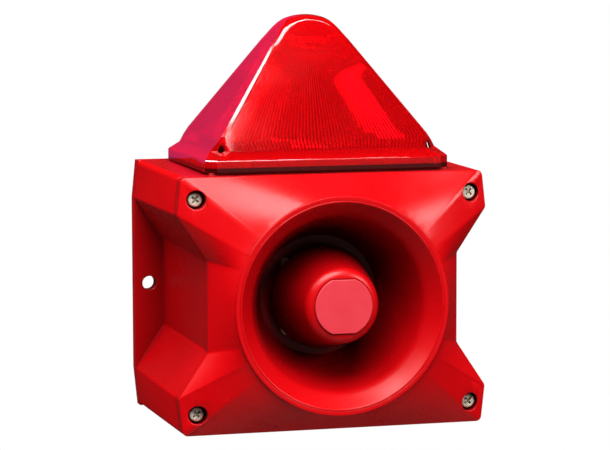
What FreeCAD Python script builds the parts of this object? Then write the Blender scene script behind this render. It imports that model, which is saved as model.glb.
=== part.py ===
import FreeCAD, Part
import math
import os
import Sketcher

# Horn strobe for a wall: a sounder with a folded horn in its front cover and a
# flashing light under a red pyramid lens on top of the case.
# The origin is the middle of the back face, on the horn's axis. +Z is up and
# -Y points away from the wall. "Front distances" are measured from the wall.

V = FreeCAD.Vector
doc = FreeCAD.newDocument("horn_strobe")


# ---------------------------------------------------------------- dimensions
# Millimetres. Every sub-part takes its sizes from this sheet.
DIMENSIONS = {
    # case outline, measured on the plane of the front edges
    "front_edge": 112.0,
    "seam": 104.0,
    "corner_half_w": 81.8,
    "corner_half_h": 67.6,
    "shoulder_half_w": 84.0,
    "shoulder_half_h": 47.9,
    "waist_half_w": 68.0,
    "waist_half_h": 24.0,
    "draft": 0.0094,
    "corner_round": 3.0,
    "wall": 3.0,
    "ear_thick": 7.5,
    "ear_hole_x": 77.0,
    "ear_hole_r": 3.9,
    # cover screws and the pillars that take them
    "screw_x": 74.4,
    "screw_z": 56.2,
    "screw_r": 1.95,
    "screw_head_r": 3.9,
    "screw_seat": 108.8,
    "pillar_r": 5.5,
    "insert_r": 2.8,
    "insert_long": 9.0,
    # horn
    "lip_r": 57.5,
    "lip_front": 130.3,
    "bell_r": 55.2,
    "bell_wall": 2.4,
    "mouth_r": 54.3,
    "flare_r": 46.6,
    "flare_front": 121.5,
    "small_end_r": 35.0,
    "small_end": 88.0,
    "horn_floor": 78.0,
    "cup_rear_r": 28.0,
    "cup_rear": 89.0,
    "cup_nose_r": 19.2,
    "cup_nose": 130.6,
    "cup_wall": 2.0,
    "throat_r": 6.0,
    "throat_end": 116.0,
    "badge_r": 15.4,
    "badge_half_h": 14.1,
    # driver
    "driver_r": 29.0,
    "driver_bolt_ring": 25.6,
    "coil_r": 13.0,
    # lens
    "lens_half_x": 66.3,
    "lens_half_y": 50.3,
    "lens_centre": 55.5,
    "lens_bottom": 68.9,
    "lens_chamfer": 5.3,
    "skirt_high": 6.4,
    "ledge_in": 4.6,
    "ledge_high": 4.3,
    "apex": 164.55,
    "lens_top": 149.7,
    "dome_r": 31.7,
    "lens_wall": 2.2,
    "post_x": 59.6,
    "post_y": 43.4,
    # circuit boards
    "board_front": 14.0,
    "board_thick": 1.6,
    "board_half_x": 55.0,
    "board_half_z": 42.0,
    "strobe_board_z": 75.0,
}


class Size:
    """A dimension: its number, and the sheet formula that gives it."""

    def __init__(self, number, formula):
        self.number = number
        self.formula = formula

    def join(self, sign, other, number):
        return Size(number, "(%s %s %s)" % (self.formula, sign, other.formula))

    def __add__(self, other):
        other = as_size(other)
        return self.join("+", other, self.number + other.number)

    def __sub__(self, other):
        other = as_size(other)
        return self.join("-", other, self.number - other.number)

    def __mul__(self, other):
        other = as_size(other)
        return self.join("*", other, self.number * other.number)

    def __truediv__(self, other):
        other = as_size(other)
        return self.join("/", other, self.number / other.number)

    def __radd__(self, other):
        return as_size(other) + self

    def __rsub__(self, other):
        return as_size(other) - self

    def __rmul__(self, other):
        return as_size(other) * self

    def __neg__(self):
        return as_size(0) - self


def as_size(value):
    """A Size as it is, and a bare number as a Size."""
    if isinstance(value, Size):
        return value
    return Size(float(value), "(%.6f)" % value)


sheet = doc.addObject("Spreadsheet::Sheet", "dims")
for row, (name, millimetres) in enumerate(DIMENSIONS.items(), start=1):
    sheet.set("A%d" % row, name)
    sheet.set("B%d" % row, str(millimetres))
    sheet.setAlias("B%d" % row, name)
doc.recompute()


class Dims:
    """dims.wall and so on: each sheet cell as a Size."""

    def __getattr__(self, name):
        return Size(float(sheet.get(name)), "dims." + name)


dims = Dims()
parts = {}


# ------------------------------------------------------------------- helpers
def bind(item, prop, value):
    """Drive one property of an object from the sheet."""
    item.setExpression(prop, as_size(value).formula)


def keep(name, item):
    """Make an object a sub-part of the product, under its own name."""
    item.Label = name
    parts[name] = item
    return item


def place(item, x=0, front=0, z=0):
    """Put an object's origin at a point given by its front distance."""
    bind(item, "Placement.Base.x", x)
    bind(item, "Placement.Base.y", -as_size(front))
    bind(item, "Placement.Base.z", z)


def sketch(body, plane, offset=0):
    """An empty sketch on one of the body's own planes."""
    item = body.newObject("Sketcher::SketchObject", body.Name + "_sketch")
    origin = [face for face in body.Origin.OriginFeatures if face.Role == plane][0]
    item.AttachmentSupport = [(origin, "")]
    item.MapMode = "FlatFace"
    bind(item, "AttachmentOffset.Base.z", offset)
    return item


def hold(item, geometry, point, x, y):
    """Dimension one point of a sketch from the sketch's origin."""
    for kind, value in (("DistanceX", as_size(x)), ("DistanceY", as_size(y))):
        index = item.addConstraint(Sketcher.Constraint(kind, -1, 1, geometry, point, value.number))
        bind(item, "Constraints[%d]" % index, value)


def polygon(item, corners):
    """A closed outline of straight lines through the corners."""
    spots = [V(as_size(x).number, as_size(y).number, 0) for x, y in corners]
    first = item.GeometryCount
    count = len(spots)
    for k in range(count):
        item.addGeometry(Part.LineSegment(spots[k], spots[(k + 1) % count]), False)
    for k, (x, y) in enumerate(corners):
        item.addConstraint(Sketcher.Constraint("Coincident", first + (k - 1) % count, 2, first + k, 1))
        hold(item, first + k, 1, x, y)
    return item


def rectangle(item, x0, y0, x1, y1):
    return polygon(item, [(x0, y0), (x1, y0), (x1, y1), (x0, y1)])


def circle(item, x, y, radius):
    spot = V(as_size(x).number, as_size(y).number, 0)
    index = item.addGeometry(Part.Circle(spot, V(0, 0, 1), as_size(radius).number), False)
    hold(item, index, 3, x, y)
    limit = item.addConstraint(Sketcher.Constraint("Radius", index, as_size(radius).number))
    bind(item, "Constraints[%d]" % limit, radius)
    return item


def grow(body, kind, item, **sizes):
    """Add a sketch-based feature to a body."""
    feature = body.newObject("PartDesign::" + kind, body.Name + "_" + kind.lower())
    feature.Profile = item
    for prop, value in sizes.items():
        bind(feature, prop, value)
    return feature


def pad(body, item, length):
    return grow(body, "Pad", item, Length=length)


def pocket(body, item, depth):
    """Cut back into the body, against the sketch plane's normal."""
    return grow(body, "Pocket", item, Length=depth)


def loft(body, sketches):
    """A straight-sided loft through closed sketches."""
    feature = grow(body, "AdditiveLoft", sketches[0])
    feature.Sections = sketches[1:]
    feature.Ruled = True
    return feature


def new_body(name):
    return doc.addObject("PartDesign::Body", name)


def turned(name, profile):
    """A body turned about the horn axis from (radius, front distance) corners."""
    body = new_body(name)
    item = polygon(sketch(body, "XY_Plane"), [(r, -as_size(front)) for r, front in profile])
    feature = grow(body, "Revolution", item)
    feature.ReferenceAxis = (item, ["V_Axis"])
    feature.Angle = 360
    return body


def edges_where(shape, wanted):
    return ["Edge%d" % (k + 1) for k, edge in enumerate(shape.Edges) if wanted(edge)]


def soften(body, kind, size, wanted):
    """Fillet or chamfer the edges of a body that a test picks out."""
    doc.recompute()
    base = body.Tip
    names = edges_where(base.Shape, wanted)
    feature = body.newObject("PartDesign::" + kind, body.Name + "_" + kind.lower())
    feature.Base = (base, names)
    bind(feature, "Radius" if kind == "Fillet" else "Size", size)
    return feature


def ring_at(radius, front):
    """Picks a circular edge about the horn axis."""
    radius = as_size(radius).number
    front = as_size(front).number

    def test(edge):
        curve = edge.Curve
        if not isinstance(curve, Part.Circle):
            return False
        return abs(curve.Radius - radius) < 0.02 and abs(curve.Center.y + front) < 0.02

    return test


def rod(name, radius, start, end, x=0, z=0):
    """A cylinder along the horn axis, between two front distances."""
    item = doc.addObject("Part::Cylinder", name)
    bind(item, "Radius", radius)
    bind(item, "Height", as_size(end) - start)
    item.Placement.Rotation = FreeCAD.Rotation(V(1, 0, 0), 90)
    place(item, x, start, z)
    return item


def post(name, radius, bottom, top, x=0, front=0):
    """An upright cylinder."""
    item = doc.addObject("Part::Cylinder", name)
    bind(item, "Radius", radius)
    bind(item, "Height", as_size(top) - bottom)
    place(item, x, front, bottom)
    return item


def block(name, x, front, z, wide, deep, high):
    """A box centred on x and z whose back is at a front distance."""
    item = doc.addObject("Part::Box", name)
    bind(item, "Length", wide)
    bind(item, "Width", deep)
    bind(item, "Height", high)
    place(item, x - as_size(wide) / 2, as_size(front) + deep, z - as_size(high) / 2)
    return item


def group(name, items):
    item = doc.addObject("Part::Compound", name)
    item.Links = items
    return item


def fused(name, items):
    item = doc.addObject("Part::MultiFuse", name)
    item.Shapes = items
    return item


def cut(name, base, tool):
    item = doc.addObject("Part::Cut", name)
    item.Base = base
    item.Tool = tool
    return item


def common(name, first, second):
    item = doc.addObject("Part::Common", name)
    item.Base = first
    item.Tool = second
    return item


def corners(x, z):
    """The four mirror images of a point, with a name for each."""
    return {
        "top_left": (-x, z),
        "top_right": (x, z),
        "bottom_left": (-x, -z),
        "bottom_right": (x, -z),
    }


def case_outline(extra):
    """The case's twelve corners, moved out by `extra`: wide shoulders, narrow waist."""
    corner = (dims.corner_half_w + extra * 1.1, dims.corner_half_h + extra)
    shoulder = (dims.shoulder_half_w + extra * 1.03, dims.shoulder_half_h - extra * 0.25)
    waist = (dims.waist_half_w + extra, dims.waist_half_h - extra * 0.3)
    lower = [(x, -z) for x, z in (waist, shoulder, corner)]
    right = [corner, shoulder, waist] + lower
    return right + [(-x, -z) for x, z in right]


def cable(name, radius, route):
    """A wire along straight runs with one tangent arc at each inner point."""
    spots = [V(as_size(x).number, -as_size(f).number, as_size(z).number) for x, f, z in route]
    edges = []
    start = spots[0]
    for before, here, after in zip(spots, spots[1:], spots[2:]):
        into = (here - before).normalize()
        out = (after - here).normalize()
        trim = 0.45 * min((here - before).Length, (after - here).Length)
        first = here - into * trim
        last = here + out * trim
        turn = into.getAngle(out)
        bend = trim / math.tan(turn / 2)
        middle = here + (out - into).normalize() * (bend / math.cos(turn / 2) - bend)
        edges.append(Part.LineSegment(start, first).toShape())
        edges.append(Part.Arc(first, middle, last).toShape())
        start = last
        print("%s: bend radius %.1f mm" % (name, bend))
    edges.append(Part.LineSegment(start, spots[-1]).toShape())
    path = Part.Wire(edges)
    across = (spots[1] - spots[0]).normalize()
    section = Part.Wire([Part.makeCircle(radius, spots[0], across)])
    tube = path.makePipeShell([section], True, False)
    exact = math.pi * radius ** 2 * path.Length
    print("%s: %.1f mm long, volume ratio %.4f" % (name, path.Length, tube.Volume / exact))
    item = doc.addObject("Part::Feature", name)
    item.Shape = tube
    return keep(name, item)


# -------------------------------------------------------------- rear housing
def make_rear_housing():
    """One moulding: deep case, wall ears, screw pillars, board posts and lens seat."""
    body = new_body("rear_housing_shell")
    back = polygon(sketch(body, "XZ_Plane"), case_outline(dims.draft * dims.front_edge))
    seam_extra = dims.draft * (dims.front_edge - dims.seam)
    front = polygon(sketch(body, "XZ_Plane", dims.seam), case_outline(seam_extra))
    loft(body, [back, front])

    def long_way(edge):
        return edge.Length > 50 and edge.BoundBox.YLength > 50

    soften(body, "Fillet", dims.corner_round, long_way)

    # the ears close the waist notch at the wall, so the back is a plain octagon
    ear_extra = dims.draft * dims.front_edge
    ear = [corner for corner in case_outline(ear_extra) if abs(corner[0].number) > 80]
    pad(body, polygon(sketch(body, "XZ_Plane"), ear), dims.ear_thick)

    inside = polygon(sketch(body, "XZ_Plane", dims.seam), case_outline(-dims.wall))
    pocket(body, inside, dims.seam - dims.wall)

    pillars = sketch(body, "XZ_Plane", dims.wall - 1)
    for x, z in corners(dims.screw_x, dims.screw_z).values():
        circle(pillars, x, z, dims.pillar_r)
    pad(body, pillars, dims.seam - dims.wall + 0.8)
    posts = sketch(body, "XZ_Plane", dims.wall - 1)
    for x, z in corners(dims.board_half_x - 5, dims.board_half_z - 5).values():
        circle(posts, x, z, 3.5)
    pad(body, posts, dims.board_front - dims.wall + 1)

    # raised seat for the lens, and flat bosses under it for the lens screws
    seat = sketch(body, "XY_Plane", dims.corner_half_h - 1)
    seat_back = -(dims.lens_centre - dims.lens_half_y + 1.5)
    rectangle(seat, 1.5 - dims.lens_half_x, 0.2 - dims.seam, dims.lens_half_x - 1.5, seat_back)
    pad(body, seat, dims.lens_bottom - dims.corner_half_h + 1)
    bosses = sketch(body, "XY_Plane", dims.corner_half_h - dims.wall - 1)
    for x, y in lens_post_spots():
        circle(bosses, x, y, 4.5)
    pad(body, bosses, 3)

    # openings: insert bores, board screws, ears, lens screws, light cable, cable entries
    inserts = sketch(body, "XZ_Plane", dims.seam)
    for x, z in corners(dims.screw_x, dims.screw_z).values():
        circle(inserts, x, z, dims.insert_r)
    pocket(body, inserts, dims.insert_long + 12)
    pilots = sketch(body, "XZ_Plane", dims.board_front)
    for x, z in corners(dims.board_half_x - 5, dims.board_half_z - 5).values():
        circle(pilots, x, z, 1.45)
    pocket(body, pilots, 9)
    ears = sketch(body, "XZ_Plane", dims.ear_thick)
    circle(ears, dims.ear_hole_x, 0, dims.ear_hole_r)
    circle(ears, -dims.ear_hole_x, 0, dims.ear_hole_r)
    pocket(body, ears, dims.ear_thick)
    top = sketch(body, "XY_Plane", dims.lens_bottom)
    for x, y in lens_post_spots():
        circle(top, x, y, 1.6)
    circle(top, -34, -40, 5)
    pocket(body, top, 8)

    # flat rings round the two cable entries in the floor
    rings = sketch(body, "XY_Plane", -dims.corner_half_h - 1.6)
    entries = sketch(body, "XY_Plane", 6 - dims.corner_half_h)
    for x in (-25, 25):
        circle(rings, x, -60, 13)
        circle(entries, x, -60, 9.9)
    pad(body, rings, 4)
    pocket(body, entries, 10)

    # a groove in the rim for the cover's seal
    groove = sketch(body, "XZ_Plane", dims.seam)
    polygon(groove, case_outline(as_size(-0.8)))
    polygon(groove, case_outline(as_size(-2.2)))
    pocket(body, groove, 1.2)
    keep("rear_housing", body)


def lens_post_spots():
    """Centres of the lens's four screw posts, as (x, y)."""
    back = dims.post_y - dims.lens_centre
    front = -dims.post_y - dims.lens_centre
    return [(sign * dims.post_x, y) for sign in (-1, 1) for y in (back, front)]


def make_inserts_and_seal():
    sleeves = []
    for x, z in corners(dims.screw_x, dims.screw_z).values():
        start = dims.seam - 0.2 - dims.insert_long
        outside = rod("insert_body", dims.insert_r - 0.02, start, dims.seam - 0.2, x, z)
        bore = rod("insert_bore", dims.screw_r + 0.05, start - 1, dims.seam + 1, x, z)
        sleeves.append(cut("insert", outside, bore))
    keep("threaded_inserts", group("threaded_inserts_group", sleeves))
    body = new_body("cover_seal_ring")
    outline = sketch(body, "XZ_Plane", dims.seam - 1.15)
    polygon(outline, case_outline(as_size(-0.85)))
    polygon(outline, case_outline(as_size(-2.15)))
    pad(body, outline, 1.15)
    keep("cover_seal", body)


# --------------------------------------------------------------- front cover
def rounded_ring(extra, radius, front):
    """Edges of the case outline with round corners: line, arc, line, arc ..."""
    y = -as_size(front).number
    spots = [V(x.number, y, z.number) for x, z in case_outline(as_size(extra))]
    tangents = []
    for k, here in enumerate(spots):
        into = (here - spots[k - 1]).normalize()
        out = (spots[(k + 1) % len(spots)] - here).normalize()
        trim = radius * math.tan(into.getAngle(out) / 2)
        lift = radius / math.cos(into.getAngle(out) / 2) - radius
        middle = here + (out - into).normalize() * lift
        tangents.append((here - into * trim, middle, here + out * trim))
    edges = []
    for k, (first, middle, last) in enumerate(tangents):
        edges.append(Part.Arc(first, middle, last).toShape())
        edges.append(Part.LineSegment(last, tangents[(k + 1) % len(tangents)][0]).toShape())
    return edges


def matching_ring(radius, front, spread):
    """A circle in as many arcs as the rounded outline, each facing its partner."""
    y = -as_size(front).number
    angles = []
    for x, z in case_outline(as_size(0)):
        angle = math.atan2(z.number, x.number)
        angles += [angle + spread, angle - spread]
    edges = []
    for k, first in enumerate(angles):
        last = angles[(k + 1) % len(angles)]
        if last > first:
            last -= 2 * math.pi
        ring = [first, (first + last) / 2, last]
        points = [V(radius * math.cos(a), y, radius * math.sin(a)) for a in ring]
        edges.append(Part.Arc(*points).toShape())
    return edges


def facet_block(name, extra, corner, rim_start, rim_end, ring_r, ring_front):
    """The cover's form: an upright rim, then flat-to-round ruled faces up to a ring."""
    low = rounded_ring(extra, corner, rim_start)
    rim = rounded_ring(extra, corner, rim_end)
    ring = matching_ring(as_size(ring_r).number, ring_front, math.radians(0.8))
    faces = [Part.Face(Part.Wire(low)), Part.Face(Part.Wire(ring))]
    for below, above in list(zip(low, rim)) + list(zip(rim, ring)):
        faces.append(Part.makeRuledSurface(below, above))
    shell = Part.Shell(faces)
    shell.sewShape()
    solid = Part.Solid(shell)
    if solid.Volume < 0:
        solid.reverse()
    item = doc.addObject("Part::Feature", name)
    item.Shape = solid
    return item


def make_front_cover():
    """Faceted cover whose faces run from the case outline to the horn's round collar."""
    corner = dims.corner_round.number
    collar_start = dims.lip_front - 1.2
    outer = facet_block("cover_outside", 0, corner, dims.seam, dims.front_edge, dims.lip_r, collar_start)
    collar = rod("cover_collar", dims.lip_r, collar_start - 2, dims.lip_front)
    inner = facet_block("cover_inside", -dims.wall, corner, dims.seam - 1, dims.front_edge - 1.7,
                        dims.bell_r + 0.1, dims.lip_front - 3.3)
    columns = []
    holes = [rod("cover_bore", dims.bell_r + 0.05, dims.seam, dims.lip_front + 1)]
    for x, z in corners(dims.screw_x, dims.screw_z).values():
        columns.append(rod("screw_column", 7, dims.seam - 2, dims.lip_front, x, z))
        holes.append(rod("screw_recess", 5, dims.screw_seat, dims.lip_front, x, z))
        holes.append(rod("screw_way", dims.screw_r + 0.3, dims.seam - 2, dims.lip_front, x, z))
    for x, z in corners(horn_screw_at(), horn_screw_at()).values():
        columns.append(rod("horn_column", 3.4, 115, dims.lip_front, x, z))
        holes.append(rod("horn_pilot", 1.25, 114, 121.5, x, z))
    hollow = cut("cover_hollow", inner, fused("cover_columns", columns))
    shape = cut("cover_shell", fused("cover_form", [outer, collar]), hollow)
    keep("front_cover", cut("cover_drilled", shape, fused("cover_holes", holes)))
    washers = []
    for x, z in corners(dims.screw_x, dims.screw_z).values():
        ring = rod("seal_body", 4.3, dims.screw_seat, dims.screw_seat + 0.8, x, z)
        bore = rod("seal_bore", dims.screw_r + 0.2, dims.seam, dims.lip_front, x, z)
        washers.append(cut("seal", ring, bore))
    keep("screw_seals", group("screw_seals_group", washers))


def horn_screw_at():
    """The horn's four fixing screws lie on the diagonals, this far along X and Z."""
    return (dims.bell_r + 2.1) * math.sqrt(0.5)


def cross_recess(item, half_long, half_wide):
    """A plus-shaped outline for a cross-slot screwdriver."""
    a, b = half_long, half_wide
    polygon(item, [(a, b), (b, b), (b, a), (-b, a), (-b, b), (-a, b),
                   (-a, -b), (-b, -b), (-b, -a), (b, -a), (b, -b), (a, -b)])


def make_cover_screws():
    """Four cross-recess pan-head screws, each turned to its own angle."""
    head = 2.5
    long = 17.0
    angles = {"top_left": 38, "top_right": 40, "bottom_left": 52, "bottom_right": 47}
    for name, (x, z) in corners(dims.screw_x, dims.screw_z).items():
        profile = [(0, head), (dims.screw_head_r, head), (dims.screw_head_r, 0),
                   (dims.screw_r, 0), (dims.screw_r, -long), (0, -long)]
        body = turned("cover_screw_" + name, profile)
        slot = sketch(body, "XZ_Plane", head)
        cross_recess(slot, 2.3, 0.55)
        pocket(body, slot, 1.5)
        soften(body, "Fillet", 1.1, ring_at(dims.screw_head_r, head))
        body.Placement.Rotation = FreeCAD.Rotation(V(0, 1, 0), angles[name])
        place(body, x, dims.screw_seat + 0.8, z)
        keep(body.Name, body)


# ---------------------------------------------------------------------- horn
def make_horn():
    """Bell, throat and cup: the sound runs up the throat, back inside the cup, out between."""
    wall = dims.bell_wall
    flange_back = as_size(112.4)
    slope = (dims.flare_r - dims.small_end_r) / (dims.flare_front - dims.small_end)
    flange_r = dims.small_end_r + wall + slope * (flange_back - dims.small_end)
    bell = turned("bell_turned", [
        (dims.bell_r, dims.lip_front),
        (dims.mouth_r, dims.lip_front),
        (dims.flare_r, dims.flare_front),
        (dims.small_end_r, dims.small_end),
        (dims.small_end_r - 2.5, dims.horn_floor + 2.5),
        (22, dims.horn_floor + 2.5),
        (22, dims.horn_floor),
        (dims.small_end_r + 0.2, dims.horn_floor),
        (dims.small_end_r + wall, dims.small_end),
        (flange_r, flange_back),
        (60, flange_back),
        (60, flange_back + 2.5),
        (flange_r + 1, flange_back + 2.5),
        (dims.bell_r, dims.lip_front - 6),
    ])
    soften(bell, "Fillet", 11, ring_at(dims.flare_r, dims.flare_front))
    soften(bell, "Fillet", 0.4, ring_at(dims.mouth_r, dims.lip_front))
    ways = []
    for x, z in corners(horn_screw_at(), horn_screw_at()).values():
        ways.append(rod("horn_screw_way", 1.6, 110, 118, x, z))
    drilled = cut("bell_drilled", bell, fused("horn_screw_ways", ways))
    keep("horn_bell", cut("bell_bolted", drilled, driver_bolt_holes))

    screws = []
    for x, z in corners(horn_screw_at(), horn_screw_at()).values():
        head = rod("horn_screw_head", 2.8, flange_back - 2, flange_back, x, z)
        shank = rod("horn_screw_shank", 1.2, flange_back - 1, 120.5, x, z)
        screws.append(fused("horn_screw", [head, shank]))
    keep("horn_screws", group("horn_screws_group", screws))

    throat = turned("throat_turned", [
        (dims.throat_r, 75.5),
        (dims.driver_r + 1, 75.5),
        (dims.driver_r + 1, dims.horn_floor),
        (dims.throat_r + 3.5, dims.horn_floor),
        (dims.throat_r + 3, dims.throat_end),
        (dims.throat_r + 1.2, dims.throat_end),
    ])
    rib = sketch(throat, "XZ_Plane", 103)
    rectangle(rib, -0.9, dims.throat_r + 2, 0.9, 21.5)
    rib_pad = pad(throat, rib, 7)
    pattern = throat.newObject("PartDesign::PolarPattern", "throat_ribs")
    pattern.Originals = [rib_pad]
    axis = [line for line in throat.Origin.OriginFeatures if line.Role == "Y_Axis"][0]
    pattern.Axis = (axis, [""])
    pattern.Angle = 360
    pattern.Occurrences = 3
    throat.Tip = pattern
    keep("horn_throat", cut("throat_bolted", throat, driver_bolt_holes))

    inner_nose = dims.cup_nose - 3
    cup = turned("cup_turned", [
        (0, dims.cup_nose),
        (dims.cup_nose_r, dims.cup_nose),
        (dims.cup_rear_r, dims.cup_rear),
        (dims.cup_rear_r - dims.cup_wall, dims.cup_rear),
        (dims.cup_nose_r - dims.cup_wall + 0.6, inner_nose),
        (0, inner_nose),
    ])
    soften(cup, "Fillet", 5.5, ring_at(dims.cup_nose_r, dims.cup_nose))
    soften(cup, "Fillet", 0.6, ring_at(dims.cup_rear_r, dims.cup_rear))
    recess = badge_form("badge_recess", 0.2, dims.cup_nose - 0.9, dims.cup_nose + 2)
    keep("reflector_cup", cut("cup_recessed", cup, recess))
    keep("badge_plate", badge_form("badge", 0, dims.cup_nose - 0.9, dims.cup_nose + 1.1))


def badge_form(name, extra, back, front):
    """A disc with a flat at the top and the bottom."""
    disc = rod(name + "_disc", dims.badge_r + extra, back, front)
    slab = block(name + "_slab", as_size(0), back, as_size(0), 2 * dims.badge_r + 2, front - back,
                 2 * (dims.badge_half_h + extra))
    return common(name + "_form", disc, slab)


# -------------------------------------------------------------------- driver
def make_driver():
    """Compression driver behind the throat: magnet, voice coil and metal dome."""
    edge = dims.driver_r
    seal = turned("driver_seal_turned", [(21, 74.7), (edge, 74.7), (edge, 75.5), (21, 75.5)])
    keep("driver_seal", cut("driver_seal_bolted", seal, driver_bolt_holes))
    frame = turned("driver_frame_turned", [(20.5, 66.2), (edge, 66.2), (edge, 74.7), (20.5, 74.7)])
    keep("driver_frame", cut("driver_frame_bolted", frame, driver_bolt_holes))
    keep("phase_plug", turned("phase_plug_turned", [
        (dims.throat_r - 1.5, 71.9), (9.4, 71.0), (13.6, 69.0),
        (20.4, 69.0), (20.4, 75.5), (dims.throat_r, 75.5),
    ]))
    gap_edge = dims.coil_r + 0.7
    plate = turned("top_plate_turned", [(gap_edge, 62.2), (edge, 62.2), (edge, 66.2), (gap_edge, 66.2)])
    keep("top_plate", cut("top_plate_bolted", plate, driver_bolt_holes))
    magnet_profile = [(17.5, 50.2), (edge, 50.2), (edge, 62.2), (17.5, 62.2)]
    keep("ring_magnet", turned("ring_magnet_turned", magnet_profile))
    pole = dims.coil_r - 0.9
    keep("pole_yoke", turned("pole_yoke_turned", [
        (0, 46.2), (edge - 1.5, 46.2), (edge - 1.5, 50.2), (pole, 50.2), (pole, 66.0), (0, 66.0),
    ]))
    keep("diaphragm", turned("diaphragm_turned", [
        (0, 70.1), (5, 69.9), (9, 69.2), (12.6, 67.9), (19.6, 67.9),
        (19.6, 67.6), (12.5, 67.6), (8.8, 68.9), (4.9, 69.6), (0, 69.8),
    ]))
    coil_in = dims.coil_r - 0.4
    coil_out = dims.coil_r + 0.3
    coil_profile = [(coil_in, 59.8), (coil_out, 59.8), (coil_out, 67.6), (coil_in, 67.6)]
    keep("voice_coil", turned("voice_coil_turned", coil_profile))
    screws = []
    for x, z in driver_bolt_spots():
        head = rod("driver_screw_head", 2.7, dims.horn_floor + 2.5, dims.horn_floor + 4.6, x, z)
        shank = rod("driver_screw_shank", 1.5, 62.6, dims.horn_floor + 3, x, z)
        screws.append(fused("driver_screw", [head, shank]))
    keep("driver_screws", group("driver_screws_group", screws))
    strip = block("terminal_strip_base", as_size(0), 60.2, -(edge + 1.6), 14, 6, 3.1)
    lugs = [block("terminal_lug", as_size(x), 58.2, -(edge + 3.4), 2.8, 8, 0.8) for x in (-3.5, 3.5)]
    keep("driver_terminals", fused("driver_terminals_all", [strip] + lugs))


def driver_bolt_spots():
    """Four bolts on a ring, on the diagonals."""
    reach = dims.driver_bolt_ring * math.sqrt(0.5)
    return corners(reach, reach).values()


def make_horn_lead():
    """Two-core lead from the driver to the plug on the main board."""
    height = -(dims.driver_r + 5)
    run = [(0, 65.5, height), (0, 56, height - 0.4), (0, 44, height - 3.6), (0, 33, height - 4)]
    cable("horn_lead", 1.2, run)
    plug = block("horn_plug_body", as_size(0), dims.board_front + 5, height - 4, 7.2, 14, 4.6)
    keep("horn_plug", plug)
    face = dims.board_front + dims.board_thick
    shell = block("horn_socket_shell", as_size(0), face, height - 4, 9.6, 10.4, 7)
    mouth = block("horn_socket_mouth", as_size(0), dims.board_front + 4.6, height - 4, 7.6, 9, 5)
    keep("horn_socket", cut("horn_socket_open", shell, mouth))


# ---------------------------------------------------------------------- lens
def lens_octagon(item, half_x, half_y, chamfer):
    """A rectangle with cut corners, centred on the lens."""
    y = -dims.lens_centre
    a, b, c = as_size(half_x), as_size(half_y), as_size(chamfer)
    polygon(item, [
        (a - c, y - b), (a, y - b + c), (a, y + b - c), (a - c, y + b),
        (c - a, y + b), (-a, y + b - c), (-a, y - b + c), (c - a, y - b),
    ])
    return item


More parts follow.
